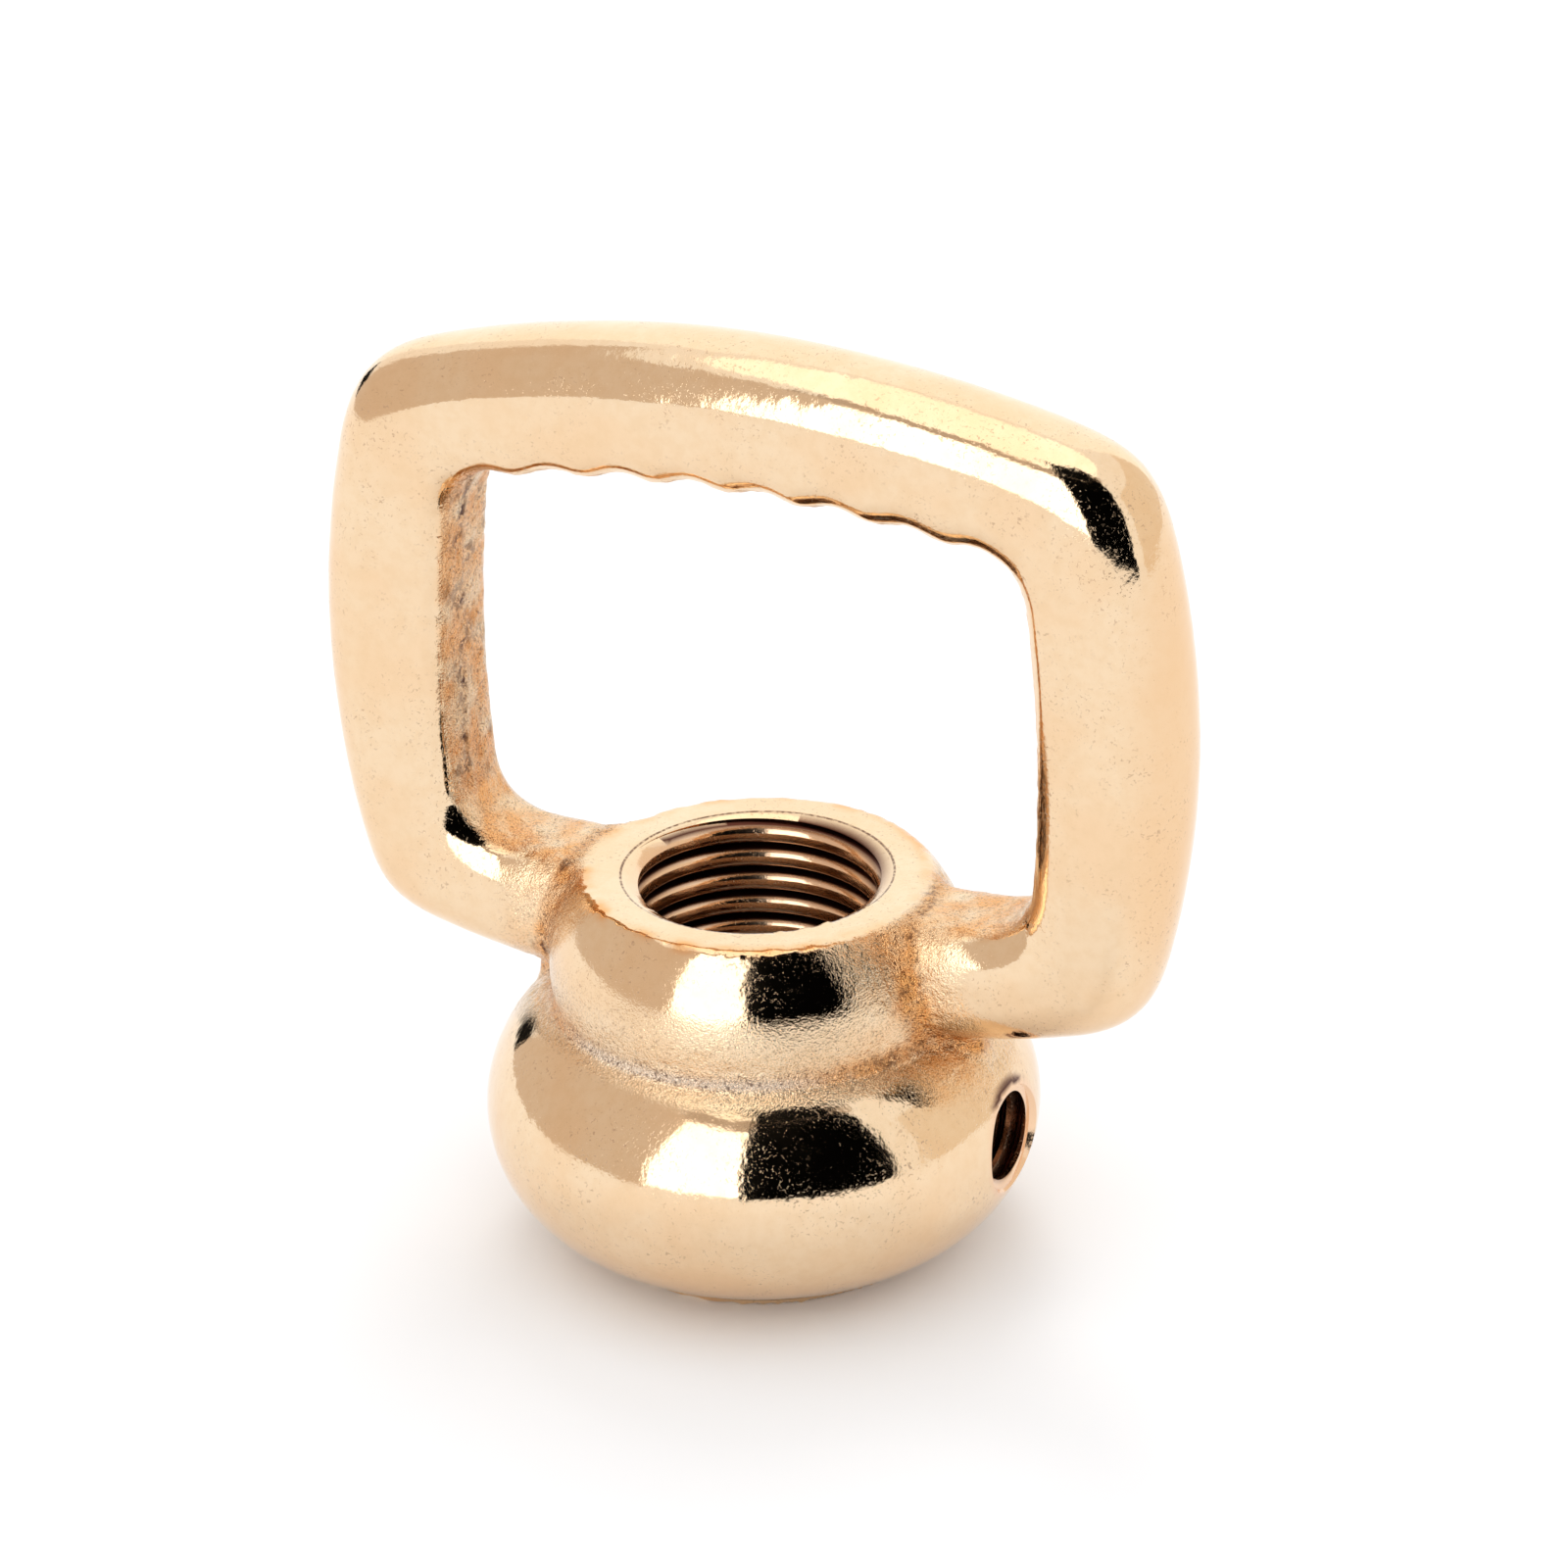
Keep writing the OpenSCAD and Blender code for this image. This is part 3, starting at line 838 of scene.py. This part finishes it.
def cast_gold():
    """Bright gold plating over a casting: peel, grain and specks, with shade painted into its hollows, thread
    grooves and outer sides.
    """
    n = Nodes("gold_plate_cast")
    mm = n.millimetres()
    part = {name: n.add("ShaderNodeAttribute", attribute_name=name).outputs["Fac"]
            for name in ("grain", "hollow_shade", "dark_patches", "groove_shade", "bore", "silver", "outer_side_shade")}
    cloud = n.noise(mm, 0.3, 3)
    fine = n.noise(mm, 6.5, 3)
    peel = n.noise(mm, 1.7, 2)
    spots = n.noise(mm, 7.5, 2, 0.5, 0.8)
    specks = n.math("MULTIPLY", n.ramp(spots, 0.61, 0.69), n.ramp(n.noise(mm, 0.45, 3), 0.38, 0.62))
    pits = n.ramp(n.noise(mm, 11.0, 1), 0.70, 0.80)
    darkening = n.math("MULTIPLY", part["dark_patches"], n.ramp(n.noise(mm, 3.3, 4, 0.6, 0.6), 0.44, 0.58))
    dots = n.math("MULTIPLY", part["grain"], n.ramp(n.noise(mm, 9.0, 2, 0.5, 0.5), 0.55, 0.66, 0, 0.7))
    # The thread grooves' painted shade joins the stains and dots here.
    darkening = n.math("MAXIMUM", n.math("MAXIMUM", darkening, dots), part["groove_shade"])
    colour = cast_gold_colour(n, mm, part, cloud, fine, specks, darkening)

    rough = n.ramp(cloud, 0.35, 0.7, 0.055, 0.11)
    rough = n.math("ADD", rough, n.math("MULTIPLY", part["grain"], 0.07))
    rough = n.math("ADD", rough, n.math("MULTIPLY", n.math("ADD", specks, darkening), 0.18))
    rough = n.math("ADD", rough, n.math("MULTIPLY", part["silver"], 0.05))
    rough = n.math("ADD", rough, n.math("MULTIPLY", part["bore"], 0.05), clamp=True)

    # Heights in mm: an even peel, then grain and pebbles where the casting is rough, pits and specks.
    grainy = n.math("MULTIPLY", fine, n.math("ADD", n.math("MULTIPLY", part["grain"], 0.075), 0.0034))
    pebbles = n.math("MULTIPLY", n.noise(mm, 13.0, 2), n.math("MULTIPLY", part["grain"], 0.06))
    height = n.math("ADD", n.math("MULTIPLY", peel, 0.008), n.math("ADD", grainy, pebbles))
    height = n.math("ADD", height, n.math("MULTIPLY", pits, -0.0022))
    height = n.math("ADD", height, n.math("MULTIPLY", specks, -0.0018))
    return n.metal(colour, rough, height)


def turned_gold():
    """Thin rose-gold plating over turned brass, with fine rings round the screw's axis."""
    n = Nodes("gold_plate_turned")
    mm = n.millimetres()
    place = n.add("ShaderNodeSeparateXYZ", {0: mm}).outputs
    up = n.math("SUBTRACT", place[2], SCREW_Z)
    across = n.math("MULTIPLY", place[1], place[1])
    radius = n.math("SQRT", n.math("ADD", across, n.math("MULTIPLY", up, up)))
    rings = n.add("ShaderNodeTexNoise", {"W": n.math("MULTIPLY", radius, 9.0), "Detail": 2.0},
                  noise_dimensions="1D").outputs[0]
    cloud = n.noise(mm, 0.9, 3)
    darkening = n.ramp(n.noise(mm, 2.4, 3), 0.52, 0.7)
    colour = n.mix(n.ramp(cloud, 0.35, 0.7), ROSE_GOLD, DULL_ROSE)
    colour = n.mix(n.math("MULTIPLY", darkening, 0.5), colour, ROSE_STAIN)
    rough = n.math("ADD", n.ramp(cloud, 0.35, 0.7, 0.14, 0.24), n.math("MULTIPLY", darkening, 0.12))
    height = n.math("ADD", n.math("MULTIPLY", rings, 0.006), n.math("MULTIPLY", n.noise(mm, 6.0, 2), 0.004))
    return n.metal(colour, rough, height)


def emission(name, colour, strength):
    n = Nodes(name)
    glow = n.add("ShaderNodeEmission", {"Color": colour, "Strength": strength})
    n.add("ShaderNodeOutputMaterial", {"Surface": glow.outputs[0]})
    return n.material


# ---------------------------------------------------------------- studio
VIEW_AZ, VIEW_EL, VIEW_ROLL = math.radians(25.46), math.radians(25.55), math.radians(-1.67)
VIEW_DISTANCE, VIEW_HEIGHT = 0.18325, 18
CARD_DISTANCE, OVERHEAD_DISTANCE = 0.6, 0.7
LIGHT_DISTANCE = 1.2
FLOOR_R, FLOOR_SIDES = 3000, 64
WHITE, BLACK = (1, 1, 1, 1), (0.001, 0.001, 0.001, 1)
WARM_GREY, TAN = (0.74, 0.64, 0.56, 1), (0.97, 0.87, 0.75, 1)


def make_camera():
    target = Vector((0, 0, VIEW_HEIGHT)) * MM
    back = Vector((math.sin(VIEW_AZ) * math.cos(VIEW_EL), -math.cos(VIEW_AZ) * math.cos(VIEW_EL),
                   math.sin(VIEW_EL)))
    data = bpy.data.cameras.new("camera")
    data.lens, data.sensor_width = 113.94, 36
    data.shift_x, data.shift_y = 0.0184, 0.0059
    data.clip_start, data.clip_end = 0.005, 50
    camera = bpy.data.objects.new("camera", data)
    bpy.context.scene.collection.objects.link(camera)
    camera.rotation_mode = "QUATERNION"
    camera.location = target + back * VIEW_DISTANCE
    turn = (-back).to_track_quat("-Z", "Y")
    camera.rotation_quaternion = turn @ Matrix.Rotation(VIEW_ROLL, 4, "Z").to_quaternion()
    bpy.context.scene.camera = camera


def direction(beta, elevation):
    """A direction from its azimuth to the right of the camera's and its elevation, in degrees."""
    b, e = math.radians(beta), math.radians(elevation)
    towards = Vector((math.sin(VIEW_AZ), -math.cos(VIEW_AZ), 0))
    right = Vector((math.cos(VIEW_AZ), math.sin(VIEW_AZ), 0))
    return (towards * math.cos(b) + right * math.sin(b)) * math.cos(e) + Vector((0, 0, math.sin(e)))


def card(name, beta, elevation, material, distance=CARD_DISTANCE):
    """A curved card that only reflections see. Its edges are given in degrees."""
    across, up = 36, 12
    points = [direction(beta[0] + (beta[1] - beta[0]) * i / across,
                        elevation[0] + (elevation[1] - elevation[0]) * j / up) * (distance / MM)
              for j in range(up + 1) for i in range(across + 1)]
    faces = [(j * (across + 1) + i, j * (across + 1) + i + 1, (j + 1) * (across + 1) + i + 1,
              (j + 1) * (across + 1) + i) for j in range(up) for i in range(across)]
    obj = new_mesh(name, points, faces)
    obj.data.materials.append(material)
    obj.visible_camera = obj.visible_diffuse = obj.visible_shadow = obj.visible_transmission = False
    return obj


def make_studio():
    scene = bpy.context.scene
    scene.view_settings.view_transform = "Standard"
    scene.world = bpy.data.worlds.new("pale_studio")
    scene.world.use_nodes = True
    background = scene.world.node_tree.nodes["Background"]
    background.inputs["Color"].default_value = WHITE
    background.inputs["Strength"].default_value = 1.1

    turn = [2 * math.pi * k / FLOOR_SIDES for k in range(FLOOR_SIDES)]
    floor = new_mesh("floor", [(FLOOR_R * math.cos(a), FLOOR_R * math.sin(a), 0) for a in turn],
                     [range(FLOOR_SIDES)])
    n = Nodes("pale_floor")
    diffuse = n.add("ShaderNodeBsdfDiffuse", {"Color": (0.95, 0.955, 0.97, 1)})
    n.add("ShaderNodeOutputMaterial", {"Surface": diffuse.outputs[0]})
    floor.data.materials.append(n.material)

    data = bpy.data.lights.new("back_light", "AREA")
    data.shape, data.size, data.energy = "DISK", 0.5, 2.2
    light = bpy.data.objects.new("back_light", data)
    scene.collection.objects.link(light)
    light.location = direction(180, 50) * LIGHT_DISTANCE
    light.rotation_mode = "QUATERNION"
    light.rotation_quaternion = (-light.location).to_track_quat("-Z", "Y")
    light.visible_glossy = False
    light.visible_camera = False

    # Cards that only reflections see: from which and to which azimuth and elevation, colour, brightness.
    for name, beta, elevation, colour, strength in (
            ("black_flag", (-9, 53), (0, 75), BLACK, 1),
            ("softbox", (-49, -9), (2, 57), WHITE, 2.6),
            ("grey_flag", (-139, -49), (0, 60), WARM_GREY, 1.04),
            ("grey_strip", (-60, 60), (58, 66), WARM_GREY, 0.8),
            ("dark_gap", (-152, -139), (0, 12), (0.01, 0.01, 0.01, 1), 1),
            ("tan_wall", (66, 140), (0, 40), TAN, 1.0),
            ("back_wall", (140, 208), (3, 62), (0.97, 1.0, 1.0, 1), 1.3)):
        card(name, beta, elevation, emission(name + "_light", colour, strength))
    overhead = emission("overhead_light", (1, 0.97, 0.91, 1), 1.65)
    card("overhead", (-180, 180), (66, 90), overhead, OVERHEAD_DISTANCE)


casting = roughened(make_casting())
smooth(casting, 40)
casting.data.materials.clear()
casting.data.materials.append(cast_gold())
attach(casting, "casting")
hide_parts("loop_casting")

set_screw = make_set_screw()
smooth(set_screw, 35)
set_screw.data.materials.clear()
set_screw.data.materials.append(turned_gold())
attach(set_screw, "screw")
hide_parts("set_screw")

make_camera()
make_studio()
